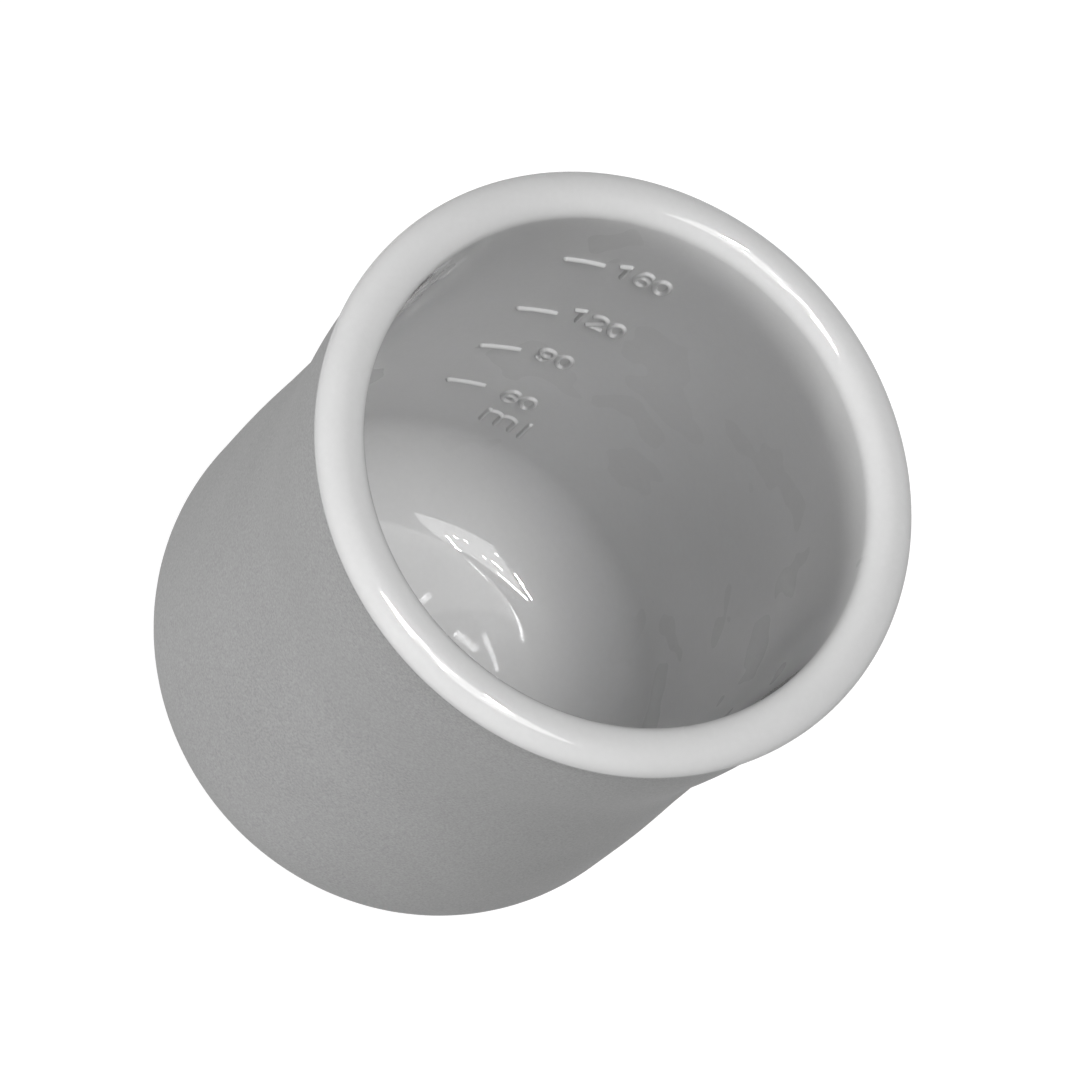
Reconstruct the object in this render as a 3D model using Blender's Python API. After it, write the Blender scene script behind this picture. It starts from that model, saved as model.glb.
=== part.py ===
"""A round cup in two pieces: a glossy inner liner with a rolled rim and moulded volume marks, which drops
into a matte outer grip sleeve. Both are turned about the +Z axis, with the base of the sleeve on Z = 0."""

import math

import bpy
from mathutils import Matrix, Vector

# Driving dimensions, in metres.
HEIGHT = 0.080
SEGMENTS = 72
GAP = 0.0003
LINER_WALL = 0.0015
SLEEVE_BASE = 0.0019

# The rolled rim is a bead with an oval section.
BEAD_RADIUS = 0.03225
BEAD_HALF_WIDTH = 0.00275
BEAD_HALF_HEIGHT = 0.0021
BEAD_Z = HEIGHT - BEAD_HALF_HEIGHT
BEAD_STEPS = 16

# The inside of the liner narrows a little towards the floor, so that it leaves its mould. The floor is a
# shallow dish, and a rounded corner leads from it into the wall.
MOUTH_RADIUS = BEAD_RADIUS - BEAD_HALF_WIDTH
INSIDE_FOOT_RADIUS = 0.0290
FLOOR_Z = SLEEVE_BASE + GAP + LINER_WALL
FLOOR_DISH = 0.150
DISH_Z = FLOOR_Z + FLOOR_DISH
FLOOR_CORNER = 0.012
CORNER_RADIUS = INSIDE_FOOT_RADIUS - FLOOR_CORNER
CORNER_START = math.asin(CORNER_RADIUS / (FLOOR_DISH - FLOOR_CORNER)) - math.pi / 2
CORNER_Z = DISH_Z + (FLOOR_DISH - FLOOR_CORNER) * math.sin(CORNER_START)
DISH_STEPS = 2
CORNER_STEPS = 8
WALL_STEPS = 3

# The outside of the sleeve: its lip under the bead, then radius and height down the waist to the belly.
LIP_RADIUS = 0.0342
BASE_CORNER = 0.0183
SLEEVE_OUTLINE = (
    (0.0338, 0.0665),
    (0.0325, 0.0540),
    (0.0326, 0.0420),
    (0.0330, 0.0300),
    (0.0330, BASE_CORNER),
)
OUTLINE_STEPS = 3

# The raised dashes that mark volumes in millilitres, on the inside wall.
MARK_VOLUMES = (60, 90, 120, 160)
MARK_AZIMUTH = math.radians(132.6)
MARK_LENGTH = 0.0047
MARK_WIDTH = 0.0007
MARK_PROUD = 0.00035
MARK_SUNK = 0.0006
LEVEL_STEP = 0.0001
CUBIC_METRES_PER_ML = 1e-6

MERGE_DISTANCE = 0.00001


def clear_scene():
    for obj in list(bpy.data.objects):
        bpy.data.objects.remove(obj, do_unlink=True)


def plastic(name, grey, roughness):
    """An opaque grey Principled material."""
    material = bpy.data.materials.new(name)
    material.use_nodes = True
    shader = material.node_tree.nodes["Principled BSDF"]
    shader.inputs["Base Color"].default_value = (grey, grey, grey, 1.0)
    shader.inputs["Roughness"].default_value = roughness
    shader.inputs["Metallic"].default_value = 0.0
    return material


def arc(centre, half_width, half_height, start, end, steps):
    """Points of an oval arc, start and end angles included."""
    angles = [start + (end - start) * step / steps for step in range(steps + 1)]
    return [(centre[0] + half_width * math.cos(a), centre[1] + half_height * math.sin(a)) for a in angles]


def straight(start, end, steps):
    """Points along a straight run, both ends left out."""
    shares = [step / steps for step in range(1, steps)]
    return [tuple(a + (b - a) * share for a, b in zip(start, end)) for share in shares]


def flowing(points, steps):
    """Points of a smooth curve through the given ones: a Catmull-Rom spline that ends vertically."""
    ends = [points[0], *points, (points[-1][0], 2 * points[-1][1] - points[-2][1])]
    found = [points[0]]
    for before, start, end, after in zip(ends, ends[1:], ends[2:], ends[3:]):
        for step in range(1, steps + 1):
            t = step / steps
            weights = (
                (2 * t**2 - t - t**3) / 2,
                (2 - 5 * t**2 + 3 * t**3) / 2,
                (t + 4 * t**2 - 3 * t**3) / 2,
                (t**3 - t**2) / 2,
            )
            four = (before, start, end, after)
            found.append(tuple(sum(w * p[axis] for w, p in zip(weights, four)) for axis in (0, 1)))
    return found


def wall_radius(z):
    """Inside radius of the liner at a height, above its floor corner."""
    share = (z - CORNER_Z) / (BEAD_Z - CORNER_Z)
    return INSIDE_FOOT_RADIUS + (MOUTH_RADIUS - INSIDE_FOOT_RADIUS) * share


def inside_radius(z):
    """Inside radius of the liner at any height above its floor, in the dish, the corner or the wall."""
    if z >= CORNER_Z:
        return wall_radius(z)
    if z >= DISH_Z + FLOOR_DISH * math.sin(CORNER_START):
        return CORNER_RADIUS + math.sqrt(FLOOR_CORNER**2 - (CORNER_Z - z) ** 2)
    return math.sqrt(FLOOR_DISH**2 - (DISH_Z - z) ** 2)


def level(millilitres):
    """Height to which the liner fills when it holds this much."""
    z = FLOOR_Z
    held = 0.0
    while held < millilitres * CUBIC_METRES_PER_ML:
        held += math.pi * inside_radius(z + LEVEL_STEP / 2) ** 2 * LEVEL_STEP
        z += LEVEL_STEP
    return z


def underside_angle(radius, half_width):
    """Where the underside of the bead's oval has this radius."""
    return -math.acos((radius - BEAD_RADIUS) / half_width)


def foot(offset):
    """From the axis along the dish and up the corner, a distance outside the inside of the liner."""
    dish = FLOOR_DISH + offset
    corner = FLOOR_CORNER + offset
    floor = arc((0.0, DISH_Z), dish, dish, -math.pi / 2, CORNER_START, DISH_STEPS)
    rise = arc((CORNER_RADIUS, CORNER_Z), corner, corner, CORNER_START, 0.0, CORNER_STEPS)
    return [(0.0, DISH_Z - dish), *floor[1:], *rise[1:]]


def liner_profile():
    """From the middle of the floor, up the inside, over the bead and down the outside."""
    inside = foot(0.0)
    outside = foot(LINER_WALL)[::-1]
    bead_end = underside_angle(MOUTH_RADIUS + LINER_WALL, BEAD_HALF_WIDTH)
    bead = arc((BEAD_RADIUS, BEAD_Z), BEAD_HALF_WIDTH, BEAD_HALF_HEIGHT, math.pi, bead_end, BEAD_STEPS)
    return [
        *inside,
        *straight(inside[-1], bead[0], WALL_STEPS),
        *bead,
        *straight(bead[-1], outside[0], WALL_STEPS),
        *outside,
    ]


def sleeve_profile():
    """From the middle of the sleeve's floor, up its inside, along its lip and down the outside."""
    inside = foot(LINER_WALL + GAP)
    half_width = BEAD_HALF_WIDTH + GAP
    lip_start = underside_angle(MOUTH_RADIUS + LINER_WALL + GAP, half_width)
    lip_end = underside_angle(LIP_RADIUS, half_width)
    lip = arc((BEAD_RADIUS, BEAD_Z), half_width, BEAD_HALF_HEIGHT + GAP, lip_start, lip_end, CORNER_STEPS)
    outline = flowing([lip[-1], *SLEEVE_OUTLINE], OUTLINE_STEPS)
    corner_centre = (SLEEVE_OUTLINE[-1][0] - BASE_CORNER, BASE_CORNER)
    base_corner = arc(corner_centre, BASE_CORNER, BASE_CORNER, 0.0, -math.pi / 2, CORNER_STEPS)
    return [
        *inside,
        *straight(inside[-1], lip[0], WALL_STEPS),
        *lip,
        *outline[1:],
        *base_corner[1:],
        (0.0, 0.0),
    ]


def turned(name, profile, material):
    """A solid of revolution: a profile in the XZ plane with a Screw modifier about Z."""
    mesh = bpy.data.meshes.new(name)
    points = [(radius, 0.0, z) for radius, z in profile]
    edges = [(index, index + 1) for index in range(len(points) - 1)]
    mesh.from_pydata(points, edges, [])
    mesh.materials.append(material)
    solid = bpy.data.objects.new(name, mesh)
    bpy.context.scene.collection.objects.link(solid)
    screw = solid.modifiers.new("Turn", "SCREW")
    screw.steps = SEGMENTS
    screw.render_steps = SEGMENTS
    screw.use_merge_vertices = True
    screw.merge_threshold = MERGE_DISTANCE
    screw.use_smooth_shade = True
    return solid


def mark_bar(volume, material):
    """One raised dash: a bar across the wall, sunk into it so that the union is one solid."""
    z = level(volume)
    outward = Vector((math.cos(MARK_AZIMUTH), math.sin(MARK_AZIMUTH), 0.0))
    depth = MARK_PROUD + MARK_SUNK
    middle = wall_radius(z) - MARK_PROUD + depth / 2
    bpy.ops.mesh.primitive_cube_add(size=1.0)
    bar = bpy.context.active_object
    bar.name = f"mark_{volume}_ml"
    bar.data.transform(Matrix.Diagonal((depth, MARK_LENGTH, MARK_WIDTH, 1.0)))
    bar.data.materials.append(material)
    bar.location = outward * middle + Vector((0.0, 0.0, z))
    bar.rotation_euler = (0.0, 0.0, MARK_AZIMUTH)
    bar.hide_render = True
    bar.display_type = "WIRE"
    return bar


def add_marks(liner, material):
    for volume in MARK_VOLUMES:
        union = liner.modifiers.new(f"Mark {volume} ml", "BOOLEAN")
        union.operation = "UNION"
        union.object = mark_bar(volume, material)


def main():
    clear_scene()
    glossy = plastic("glossy_liner", 0.55, 0.12)
    matte = plastic("matte_sleeve", 0.40, 0.62)
    liner = turned("inner_liner", liner_profile(), glossy)
    add_marks(liner, glossy)
    turned("outer_sleeve", sleeve_profile(), matte)


main()
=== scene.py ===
"""Looks of the round cup: a glossy liner with raised volume marks, seated in a matte grip sleeve, in a
white studio. Lengths are in metres."""

import math

import bmesh
import bpy
import numpy as np
from mathutils import Matrix, Vector


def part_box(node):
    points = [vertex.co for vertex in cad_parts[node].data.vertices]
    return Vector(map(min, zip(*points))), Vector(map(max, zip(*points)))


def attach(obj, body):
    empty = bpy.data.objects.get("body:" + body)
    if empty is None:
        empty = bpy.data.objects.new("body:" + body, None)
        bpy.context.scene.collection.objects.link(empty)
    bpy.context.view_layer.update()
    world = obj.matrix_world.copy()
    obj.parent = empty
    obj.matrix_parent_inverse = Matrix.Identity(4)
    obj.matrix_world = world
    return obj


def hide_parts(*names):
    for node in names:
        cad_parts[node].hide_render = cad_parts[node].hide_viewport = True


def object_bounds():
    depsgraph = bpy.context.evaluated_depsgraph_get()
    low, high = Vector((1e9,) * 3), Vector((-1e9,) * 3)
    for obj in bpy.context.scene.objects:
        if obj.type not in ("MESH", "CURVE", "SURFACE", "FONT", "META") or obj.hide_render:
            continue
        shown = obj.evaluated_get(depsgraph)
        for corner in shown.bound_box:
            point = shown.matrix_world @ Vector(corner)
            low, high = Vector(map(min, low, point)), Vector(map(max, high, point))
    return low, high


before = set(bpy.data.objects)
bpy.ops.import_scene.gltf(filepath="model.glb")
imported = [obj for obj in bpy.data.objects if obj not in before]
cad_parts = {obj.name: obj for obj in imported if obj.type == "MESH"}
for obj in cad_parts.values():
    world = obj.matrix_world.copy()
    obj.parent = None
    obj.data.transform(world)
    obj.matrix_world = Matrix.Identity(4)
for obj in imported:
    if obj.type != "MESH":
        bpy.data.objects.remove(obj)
cad_low, cad_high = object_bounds()
liner_low, liner_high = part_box("inner_liner")
_, sleeve_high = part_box("outer_sleeve")

# The camera looks down into the cup through a long lens, rolled so that the cup leans.
VIEW_ELEVATION = math.radians(60.61)
VIEW_ROLL = math.radians(48.25)
LENS_ANGLE = math.radians(11.0)
CAMERA_DISTANCE = 0.642
AIM_FROM_MIDDLE = Vector((0.0, 0.0054, 0.005))

# Sizes shared by both pieces. The liner's box gives the bead's outer radius and its top. The inside
# narrows by the draft down to a rounded corner and a dished floor.
GAP = 0.0003
LINER_WALL = 0.0015
BEAD_HALF_WIDTH = 0.00275
BEAD_HALF_HEIGHT = 0.0021
BEAD_RADIUS = liner_high.x - BEAD_HALF_WIDTH
BEAD_Z = liner_high.z - BEAD_HALF_HEIGHT
MOUTH_RADIUS = BEAD_RADIUS - BEAD_HALF_WIDTH
WALL_DRAFT = 0.0005
INSIDE_FOOT_RADIUS = MOUTH_RADIUS - WALL_DRAFT
FLOOR_Z = liner_low.z + LINER_WALL
FLOOR_DISH = 0.150
DISH_Z = FLOOR_Z + FLOOR_DISH
FLOOR_CORNER = 0.012
CORNER_RADIUS = INSIDE_FOOT_RADIUS - FLOOR_CORNER
CORNER_START = math.asin(CORNER_RADIUS / (FLOOR_DISH - FLOOR_CORNER)) - math.pi / 2
CORNER_Z = DISH_Z + (FLOOR_DISH - FLOOR_CORNER) * math.sin(CORNER_START)

# The sleeve's outside, from its lip under the bead down to its belly.
LIP_RADIUS = sleeve_high.x
LIP_ROUNDING = 0.00022
BASE_CORNER = 0.0183
SLEEVE_OUTLINE = (
    (0.0338, 0.0665),
    (0.0325, 0.0540),
    (0.0326, 0.0420),
    (0.0330, 0.0300),
    (0.0330, BASE_CORNER),
)

# How finely the pieces are turned. A ring within the axis tolerance is a single vertex.
LINER_SEGMENTS = 192
SLEEVE_SEGMENTS = 256
BEAD_STEPS = 40
DISH_STEPS = 16
CORNER_STEPS = 28
WALL_STEPS = 64
OUTLINE_STEPS = 14
LIP_STEPS = 10
HIDDEN_STEPS = 8
AXIS_TOLERANCE = 0.00001

# Volume marks: millilitres, height of the dash, height of its number, azimuth of the number's middle and
# tilt of the dash, the last two in degrees.
MARK_ROWS = (
    (60, 0.0291, 0.0285, 119.0, 0.0),
    (90, 0.0404, 0.0414, 120.2, 8.0),
    (120, 0.0520, 0.0534, 119.1, 5.0),
    (160, 0.0667, 0.0667, 118.9, 0.0),
)
DASH_AZIMUTH = 133.1
DASH_LENGTH = 0.0043
DASH_HALF_WIDTH = 0.00040

# All strokes: how far they stand off the wall, the fillet at their foot as a share of their half width,
# and the distance from them within which the wall is cut finely.
STROKE_HALF_WIDTH = 0.00029
MARK_PROUD = 0.00040
STROKE_FILLET = 0.18
MARK_REACH = 0.0009
MARK_CUTS = 15
CURVE_STEPS = 20

# The digits: half their width and height, the distance between neighbours, half the height of the bowl of
# a 6, how much wider its back is than its bowl, and the flag and the stem of a 1.
HALF_DIGIT = 0.00079
DIGIT_TOP = 0.00147
DIGIT_PITCH = 0.00235
BOWL = 0.00086
BACK_SHARE = 1.2
STEM_SHARE = 0.25
FLAG_REACH = 0.00095
FLAG_Y = 0.00098

# The unit: half the height of the m, the radius of its arches, and the place, top and foot of the l.
UNIT_AZIMUTH = 119.0
UNIT_Z = 0.0219
HALF_M = 0.00155
ARCH = 0.00094
L_PLACE = 0.0034
L_TOP = 0.0021
L_FOOT = -0.0019

# The usual span of a noise, and the ranges it is spread over. A tone runs from black, 0, to white, 1.
# Fleck and speckle are added to the tone.
NOISE_SPAN = (0.3, 0.7)
LINER_TONE = (0.565, 0.595)
LINER_FLECK = (-0.006, 0.006)
LINER_ROUGHNESS = (0.27, 0.29)
SLEEVE_TONE = (0.298, 0.314)
SLEEVE_SPECKLE = (-0.05, 0.05)
SLEEVE_ROUGHNESS = (0.55, 0.68)
FLOOR_TONE = (0.14, 0.16)
FLOOR_GLOW = 0.94

# The studio: a soft sky, and lamps of two kinds. A matt lamp shades without showing in gloss. A gloss lamp
# only shows as a reflection: a softbox overhead with brighter tubes and bulbs in and around it. Each has
# its direction, length, width, turn and brightness. A square metre of lamp takes LAMP_POWER watts for a
# brightness of 1, which is white.
SKY = 0.367
SKY_TILT = Vector((-0.143, 0.040, -0.184))
FLOOR_REACH = 30.0
FLOOR_DROP = 0.0001
LAMP_DISTANCE = 1.5
LAMP_POWER = 4.0
MATT_LAMPS = (
    ("key", (0.133, -0.112), 0.35, 0.35, -40.0, 10.5),
    ("fill", (0.31, -0.43), 0.75, 0.75, 40.0, 1.9),
    ("side", (-0.406, -0.911), 0.90, 0.16, -24.0, 12.0),
)
GLOSS_LAMPS = (
    ("softbox", (0.14, -0.12), 0.36, 0.44, -40.0, 2.6),
    ("long_tube", (-0.065, -0.12), 0.22, 0.016, 45.0, 60.0),
    ("short_tube", (0.145, 0.085), 0.14, 0.010, -51.0, 150.0),
    ("low_tube", (-0.065, -0.300), 0.07, 0.012, 167.0, 260.0),
    ("lower_tube", (-0.125, -0.270), 0.09, 0.008, 0.0, 260.0),
    ("low_bulb", (0.080, -0.300), 0.016, 0.020, 0.0, 120.0),
    ("dash", (0.035, -0.150), 0.055, 0.012, 20.0, 120.0),
    ("middle_bulb", (0.080, -0.080), 0.018, 0.018, 0.0, 80.0),
    ("side_bulb", (0.190, -0.040), 0.018, 0.020, 0.0, 80.0),
    ("far_side_bulb", (0.170, -0.100), 0.016, 0.020, 0.0, 80.0),
)


def place_camera():
    middle = (cad_low + cad_high) / 2
    forward = Vector((0.0, math.cos(VIEW_ELEVATION), -math.sin(VIEW_ELEVATION)))
    right = Vector((1.0, 0.0, 0.0))
    up = right.cross(forward)
    rolled_right = math.cos(VIEW_ROLL) * right + math.sin(VIEW_ROLL) * up
    rolled_up = math.cos(VIEW_ROLL) * up - math.sin(VIEW_ROLL) * right
    camera = bpy.data.objects.new("camera", bpy.data.cameras.new("camera"))
    camera.data.angle = LENS_ANGLE
    camera.data.clip_start = 0.01
    camera.data.clip_end = 100.0
    turn = Matrix((rolled_right, rolled_up, -forward)).transposed().to_4x4()
    camera.matrix_world = Matrix.Translation(middle + AIM_FROM_MIDDLE - forward * CAMERA_DISTANCE) @ turn
    bpy.context.scene.collection.objects.link(camera)
    bpy.context.scene.camera = camera


# Profiles: points of radius and height.


def arc(centre, half_width, half_height, start, end, steps):
    """Points of an oval arc, start and end angles included."""
    angles = [start + (end - start) * step / steps for step in range(steps + 1)]
    return [(centre[0] + half_width * math.cos(a), centre[1] + half_height * math.sin(a)) for a in angles]


def straight(start, end, steps):
    """Points along a straight run, both ends left out."""
    shares = [step / steps for step in range(1, steps)]
    return [tuple(a + (b - a) * share for a, b in zip(start, end)) for share in shares]


def flowing(points, steps):
    """Points of a smooth curve through the given ones: a Catmull-Rom spline that ends vertically."""
    ends = [points[0], *points, (points[-1][0], 2 * points[-1][1] - points[-2][1])]
    found = [points[0]]
    for before, start, end, after in zip(ends, ends[1:], ends[2:], ends[3:]):
        for step in range(1, steps + 1):
            t = step / steps
            weights = (
                (2 * t**2 - t - t**3) / 2,
                (2 - 5 * t**2 + 3 * t**3) / 2,
                (t + 4 * t**2 - 3 * t**3) / 2,
                (t**3 - t**2) / 2,
            )
            four = (before, start, end, after)
            found.append(tuple(sum(w * p[axis] for w, p in zip(weights, four)) for axis in (0, 1)))
    return found


def underside_angle(radius, half_width):
    """Where the underside of the bead's oval has this radius."""
    return -math.acos((radius - BEAD_RADIUS) / half_width)


def foot(offset):
    """From the axis along the dish and up the corner, a distance outside the inside of the liner."""
    dish = FLOOR_DISH + offset
    corner = FLOOR_CORNER + offset
    floor = arc((0.0, DISH_Z), dish, dish, -math.pi / 2, CORNER_START, DISH_STEPS)
    rise = arc((CORNER_RADIUS, CORNER_Z), corner, corner, CORNER_START, 0.0, CORNER_STEPS)
    return [(0.0, DISH_Z - dish), *floor[1:], *rise[1:]]


def liner_profile():
    """From the middle of the floor, up the inside, over the bead and down the outside."""
    inside = foot(0.0)
    outside = foot(LINER_WALL)[::-1]
    bead_end = underside_angle(MOUTH_RADIUS + LINER_WALL, BEAD_HALF_WIDTH)
    bead = arc((BEAD_RADIUS, BEAD_Z), BEAD_HALF_WIDTH, BEAD_HALF_HEIGHT, math.pi, bead_end, BEAD_STEPS)
    return [
        *inside,
        *straight(inside[-1], bead[0], WALL_STEPS),
        *bead,
        *straight(bead[-1], outside[0], HIDDEN_STEPS),
        *outside,
    ]


def sleeve_profile():
    """From the middle of the sleeve's floor, up its inside, along its lip and down the outside."""
    inside = foot(LINER_WALL + GAP)
    half_width = BEAD_HALF_WIDTH + GAP
    lip_start = underside_angle(MOUTH_RADIUS + LINER_WALL + GAP, half_width)
    lip_end = underside_angle(LIP_RADIUS - LIP_ROUNDING, half_width)
    lip = arc((BEAD_RADIUS, BEAD_Z), half_width, BEAD_HALF_HEIGHT + GAP, lip_start, lip_end, LIP_STEPS)
    edge_centre = (lip[-1][0], lip[-1][1] - LIP_ROUNDING)
    edge = arc(edge_centre, LIP_ROUNDING, LIP_ROUNDING, math.pi / 2, 0.0, LIP_STEPS)
    outline = flowing([edge[-1], *SLEEVE_OUTLINE], OUTLINE_STEPS)
    corner_centre = (SLEEVE_OUTLINE[-1][0] - BASE_CORNER, BASE_CORNER)
    base_corner = arc(corner_centre, BASE_CORNER, BASE_CORNER, 0.0, -math.pi / 2, CORNER_STEPS)
    return [
        *inside,
        *straight(inside[-1], lip[0], HIDDEN_STEPS),
        *lip,
        *edge[1:],
        *outline[1:],
        *base_corner[1:],
        (0.0, 0.0),
    ]


def wall_radius(z):
    """Inside radius of the liner at a height, above its floor corner."""
    share = (z - CORNER_Z) / (BEAD_Z - CORNER_Z)
    return INSIDE_FOOT_RADIUS + (MOUTH_RADIUS - INSIDE_FOOT_RADIUS) * share


def turned(profile, segments):
    """A closed mesh of revolution about Z, with a single vertex at each pole."""
    mesh = bmesh.new()
    rings = []
    for radius, z in profile:
        count = segments if radius > AXIS_TOLERANCE else 1
        angles = [2 * math.pi * index / segments for index in range(count)]
        rings.append([mesh.verts.new((radius * math.cos(a), radius * math.sin(a), z)) for a in angles])
    for lower, upper in zip(rings, rings[1:]):
        for index in range(segments):
            after = (index + 1) % segments
            corners = [lower[index % len(lower)], lower[after % len(lower)]]
            corners += [upper[after % len(upper)], upper[index % len(upper)]]
            mesh.faces.new(list(dict.fromkeys(corners)))
    bmesh.ops.recalc_face_normals(mesh, faces=mesh.faces)
    return mesh


def piece(name, mesh, material):
    data = bpy.data.meshes.new(name)
    mesh.to_mesh(data)
    mesh.free()
    data.materials.append(material)
    data.shade_smooth()
    made = bpy.data.objects.new(name, data)
    bpy.context.scene.collection.objects.link(made)
    return made


# Volume marks: strokes on the unrolled wall, x along the way the numbers read and y upwards.


def curved(centre, half_width, half_height, start, end):
    """A round stroke between two angles in degrees."""
    return arc(centre, half_width, half_height, math.radians(start), math.radians(end), CURVE_STEPS)


def six():
    bowl_y = BOWL - DIGIT_TOP
    back_width = BACK_SHARE * HALF_DIGIT
    back = curved((back_width - HALF_DIGIT, bowl_y), back_width, DIGIT_TOP - bowl_y, 180, 55)
    return [curved((0.0, bowl_y), HALF_DIGIT, BOWL, 0, 360), back]


def nine():
    return [[(-x, -y) for x, y in stroke] for stroke in six()]


def zero():
    return [curved((0.0, 0.0), HALF_DIGIT, DIGIT_TOP, 0, 360)]


def one():
    stem = STEM_SHARE * HALF_DIGIT
    return [[(stem - FLAG_REACH, FLAG_Y), (stem, DIGIT_TOP), (stem, -DIGIT_TOP)]]


def two():
    top = curved((0.0, DIGIT_TOP - HALF_DIGIT), HALF_DIGIT, HALF_DIGIT, 165, -38)
    return [[*top, (-HALF_DIGIT, -DIGIT_TOP), (HALF_DIGIT, -DIGIT_TOP)]]


DIGITS = {"0": zero, "1": one, "2": two, "6": six, "9": nine}


def unit_sign():
    """The letters m and l."""
    strokes = [[(-2 * ARCH, HALF_M), (-2 * ARCH, -HALF_M)]]
    for middle in (-ARCH, ARCH):
        top = curved((middle, HALF_M - ARCH), ARCH, ARCH, 180, 0)
        strokes.append([*top, (middle + ARCH, -HALF_M)])
    strokes.append([(L_PLACE, L_TOP), (L_PLACE, L_FOOT)])
    return strokes


def moved(strokes, x, y):
    return [[(px + x, py + y) for px, py in stroke] for stroke in strokes]


def along_wall(azimuth):
    """Distance along the wall from the +X side, in the way that the numbers read."""
    return -math.radians(azimuth) * (MOUTH_RADIUS + INSIDE_FOOT_RADIUS) / 2


def mark_strokes():
    """All strokes, as (points, half width)."""
    found = []
    for volume, dash_z, number_z, number_azimuth, tilt in MARK_ROWS:
        x = along_wall(DASH_AZIMUTH)
        reach = DASH_LENGTH / 2 * math.cos(math.radians(tilt))
        rise = DASH_LENGTH / 2 * math.sin(math.radians(tilt))
        found.append(([(x - reach, dash_z - rise), (x + reach, dash_z + rise)], DASH_HALF_WIDTH))
        digits = str(volume)
        for place, digit in enumerate(digits):
            offset = (place - (len(digits) - 1) / 2) * DIGIT_PITCH
            shape = moved(DIGITS[digit](), along_wall(number_azimuth) + offset, number_z)
            found += [(stroke, STROKE_HALF_WIDTH) for stroke in shape]
    letters = moved(unit_sign(), along_wall(UNIT_AZIMUTH), UNIT_Z)
    found += [(stroke, STROKE_HALF_WIDTH) for stroke in letters]
    return found


def stroke_closeness(points, strokes):
    """For each point, its distance to the nearest stroke, and the least distance over a half width."""
    nearest = np.full(len(points), np.inf)
    share = np.full(len(points), np.inf)
    for stroke, half_width in strokes:
        for start, end in zip(stroke, stroke[1:]):
            start = np.array(start)
            run = np.array(end) - start
            along = np.clip((points - start) @ run / (run @ run), 0.0, 1.0)
            distance = np.linalg.norm(points - start - along[:, None] * run, axis=1)
            nearest = np.minimum(nearest, distance)
            share = np.minimum(share, distance / half_width)
    return nearest, share


def half_round(share):
    """Height of a stroke across its width: a half round whose foot is filleted into the wall."""
    dome = np.sqrt(np.clip(1.0 - share**2, 0.0, 1.0))
    fade = np.clip((1.0 + STROKE_FILLET - share) / (2 * STROKE_FILLET), 0.0, 1.0)
    return dome * (1.0 - STROKE_FILLET) * fade + STROKE_FILLET * fade**2


def unrolled(points):
    """Points of the wall laid flat."""
    azimuth = np.arctan2(points[:, 1], points[:, 0])
    return np.column_stack((-azimuth * (MOUTH_RADIUS + INSIDE_FOOT_RADIUS) / 2, points[:, 2]))


def on_inside_wall(points):
    """Which points lie on the straight part of the liner's inside wall."""
    radius = np.hypot(points[:, 0], points[:, 1])
    height = points[:, 2]
    inside = radius < MOUTH_RADIUS + LINER_WALL / 2
    return inside & (height > CORNER_Z) & (height < BEAD_Z - BEAD_HALF_HEIGHT)


def raise_marks(mesh):
    """Splits the wall finely where the strokes lie, and lifts it there with a rounded profile."""
    strokes = mark_strokes()
    mesh.faces.ensure_lookup_table()
    centres = np.array([face.calc_center_median() for face in mesh.faces])
    near, _ = stroke_closeness(unrolled(centres), strokes)
    wanted = (near < MARK_REACH) & on_inside_wall(centres)
    edges = {edge for index in np.nonzero(wanted)[0] for edge in mesh.faces[index].edges}
    bmesh.ops.subdivide_edges(mesh, edges=list(edges), cuts=MARK_CUTS, use_grid_fill=True)
    mesh.verts.ensure_lookup_table()
    points = np.array([vertex.co for vertex in mesh.verts])
    _, share = stroke_closeness(unrolled(points), strokes)
    rise = MARK_PROUD * half_round(share)
    for index in np.nonzero(on_inside_wall(points))[0]:
        vertex = mesh.verts[index]
        azimuth = math.atan2(vertex.co.y, vertex.co.x)
        radius = wall_radius(vertex.co.z) - rise[index]
        vertex.co.x = radius * math.cos(azimuth)
        vertex.co.y = radius * math.sin(azimuth)


# Materials.


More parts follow.
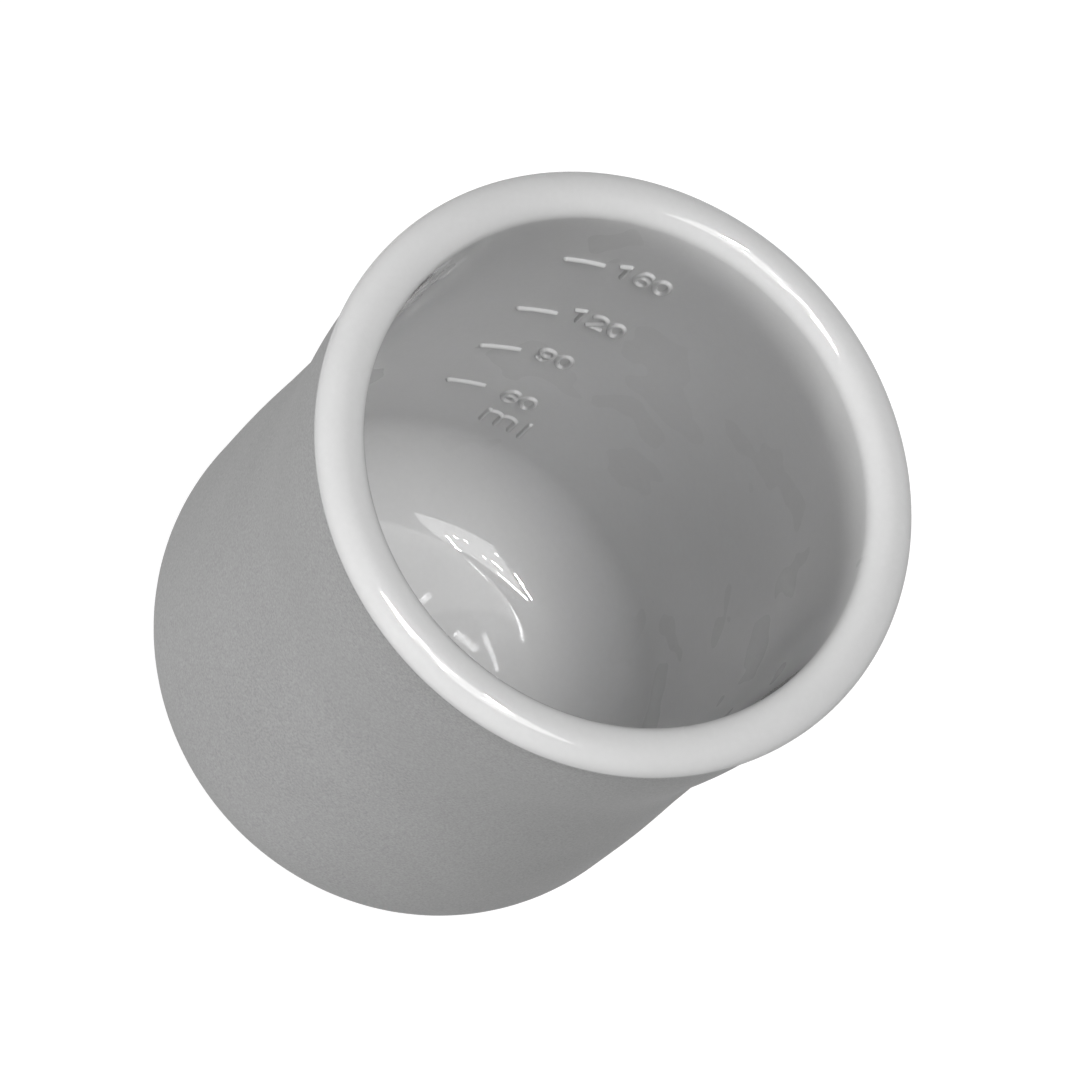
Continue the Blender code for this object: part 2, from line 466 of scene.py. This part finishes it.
class Shading:
    """A material's node tree, with short ways to add the nodes used here."""

    def __init__(self, name):
        self.material = bpy.data.materials.new(name)
        self.material.use_nodes = True
        self.tree = self.material.node_tree
        self.shader = self.tree.nodes["Principled BSDF"]
        self.place = self.tree.nodes.new("ShaderNodeTexCoord").outputs["Object"]

    def set(self, **values):
        for socket, value in values.items():
            self.shader.inputs[socket.replace("_", " ")].default_value = value

    def link(self, output, socket):
        self.tree.links.new(output, self.shader.inputs[socket])

    def noise(self, scale, detail=2.0, roughness=0.5):
        """Cloudy noise. scale is about how many of its features fit in a metre."""
        node = self.tree.nodes.new("ShaderNodeTexNoise")
        node.inputs["Scale"].default_value = scale
        node.inputs["Detail"].default_value = detail
        node.inputs["Roughness"].default_value = roughness
        self.tree.links.new(self.place, node.inputs["Vector"])
        return node.outputs["Fac"]

    def ranged(self, noise, wanted):
        """Spreads the usual span of a noise over the wanted range."""
        node = self.tree.nodes.new("ShaderNodeMapRange")
        sockets = ("From Min", "From Max", "To Min", "To Max")
        for socket, number in zip(sockets, (*NOISE_SPAN, *wanted)):
            node.inputs[socket].default_value = number
        self.tree.links.new(noise, node.inputs["Value"])
        return node.outputs["Result"]

    def sum(self, first, second):
        node = self.tree.nodes.new("ShaderNodeMath")
        node.operation = "ADD"
        for socket, value in zip(node.inputs, (first, second)):
            self.tree.links.new(value, socket)
        return node.outputs["Value"]

    def grey(self, value):
        node = self.tree.nodes.new("ShaderNodeCombineColor")
        for socket in node.inputs:
            self.tree.links.new(value, socket)
        return node.outputs["Color"]

    def bump(self, height, distance, strength, under=None):
        node = self.tree.nodes.new("ShaderNodeBump")
        node.inputs["Distance"].default_value = distance
        node.inputs["Strength"].default_value = strength
        self.tree.links.new(height, node.inputs["Height"])
        if under:
            self.tree.links.new(under, node.inputs["Normal"])
        return node.outputs["Normal"]


def glossy_plastic():
    """Smooth light grey moulding under a clear skin, with faint clouds and a very fine texture."""
    shading = Shading("glossy_liner")
    shading.set(Metallic=0.0, IOR=1.5, Specular_IOR_Level=0.06)
    shading.set(Coat_Weight=1.0, Coat_Roughness=0.02, Coat_IOR=1.6)
    clouds = shading.ranged(shading.noise(55.0, detail=3.0), LINER_TONE)
    fine = shading.noise(1400.0)
    tone = shading.sum(clouds, shading.ranged(fine, LINER_FLECK))
    shading.link(shading.grey(tone), "Base Color")
    shading.link(shading.ranged(shading.noise(90.0), LINER_ROUGHNESS), "Roughness")
    shading.link(shading.bump(fine, distance=0.00003, strength=0.03), "Normal")
    return shading.material


def matte_rubber():
    """Frosted grey with a sandy grain and a slight sheen."""
    shading = Shading("matte_sleeve")
    shading.set(Metallic=0.0, IOR=1.45, Sheen_Weight=0.12, Sheen_Roughness=0.4)
    grain = shading.noise(3600.0, roughness=0.6)
    sand = shading.noise(1500.0, detail=3.0, roughness=0.65)
    clouds = shading.ranged(shading.noise(70.0), SLEEVE_TONE)
    tone = shading.sum(shading.ranged(grain, SLEEVE_SPECKLE), clouds)
    shading.link(shading.grey(tone), "Base Color")
    shading.link(shading.ranged(sand, SLEEVE_ROUGHNESS), "Roughness")
    coarse = shading.bump(sand, distance=0.00008, strength=0.35)
    shading.link(shading.bump(grain, distance=0.00005, strength=0.6, under=coarse), "Normal")
    return shading.material


def floor_material():
    shading = Shading("studio_floor")
    shading.set(Roughness=0.9)
    shading.link(shading.grey(shading.ranged(shading.noise(8.0), FLOOR_TONE)), "Base Color")
    shading.set(Emission_Color=(1.0, 1.0, 1.0, 1.0), Emission_Strength=FLOOR_GLOW)
    return shading.material


# Studio.


def add_floor():
    """A white floor that only the camera sees, so that it doesn't wash out the shading of the cup."""
    mesh = bmesh.new()
    bmesh.ops.create_grid(mesh, x_segments=8, y_segments=8, size=FLOOR_REACH)
    floor = piece("studio_floor", mesh, floor_material())
    floor.location.z = cad_low.z - FLOOR_DROP
    floor.visible_diffuse = False
    floor.visible_glossy = False


def add_sky():
    """A soft white sky that gets brighter downwards and towards -X."""
    world = bpy.data.worlds.new("studio")
    world.use_nodes = True
    tree = world.node_tree
    direction = tree.nodes.new("ShaderNodeTexCoord").outputs["Generated"]
    tilt = tree.nodes.new("ShaderNodeVectorMath")
    tilt.operation = "DOT_PRODUCT"
    tilt.inputs[1].default_value = SKY_TILT
    strength = tree.nodes.new("ShaderNodeMath")
    strength.operation = "ADD"
    strength.inputs[1].default_value = SKY
    tree.links.new(direction, tilt.inputs[0])
    tree.links.new(tilt.outputs["Value"], strength.inputs[0])
    background = tree.nodes["Background"]
    background.inputs["Color"].default_value = (1.0, 1.0, 1.0, 1.0)
    tree.links.new(strength.outputs["Value"], background.inputs["Strength"])
    bpy.context.scene.world = world


def add_lamp(name, towards, length, width, turn, brightness):
    """A rectangular light that faces the mouth. towards is its direction from there, as shares of +X and
    +Y, length and width are in radians as seen from there, and turn is the angle of its length from +X."""
    x, y = towards
    direction = Vector((x, y, math.sqrt(1.0 - x * x - y * y)))
    light = bpy.data.lights.new(name, "AREA")
    light.shape = "RECTANGLE"
    light.size = length * LAMP_DISTANCE
    light.size_y = width * LAMP_DISTANCE
    light.energy = LAMP_POWER * light.size * light.size_y * brightness
    lamp = bpy.data.objects.new(name, light)
    turned_x = Vector((math.cos(math.radians(turn)), math.sin(math.radians(turn)), 0.0))
    side = (turned_x - direction * turned_x.dot(direction)).normalized()
    axes = Matrix((side, direction.cross(side), direction)).transposed().to_4x4()
    lamp.matrix_world = Matrix.Translation(direction * LAMP_DISTANCE + Vector((0.0, 0.0, BEAD_Z))) @ axes
    bpy.context.scene.collection.objects.link(lamp)
    return lamp


def add_lamps():
    for settings in MATT_LAMPS:
        lamp = add_lamp(*settings)
        lamp.visible_glossy = False
        lamp.visible_camera = False
    for settings in GLOSS_LAMPS:
        lamp = add_lamp(*settings)
        lamp.visible_diffuse = False


place_camera()

liner_mesh = turned(liner_profile(), LINER_SEGMENTS)
raise_marks(liner_mesh)
liner = piece("cup_liner", liner_mesh, glossy_plastic())
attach(liner, "liner")
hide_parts("inner_liner")

sleeve = piece("grip_sleeve", turned(sleeve_profile(), SLEEVE_SEGMENTS), matte_rubber())
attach(sleeve, "sleeve")
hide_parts("outer_sleeve")

add_floor()
add_sky()
add_lamps()

view_settings = bpy.context.scene.view_settings
view_settings.view_transform = "Standard"
view_settings.look = "None"
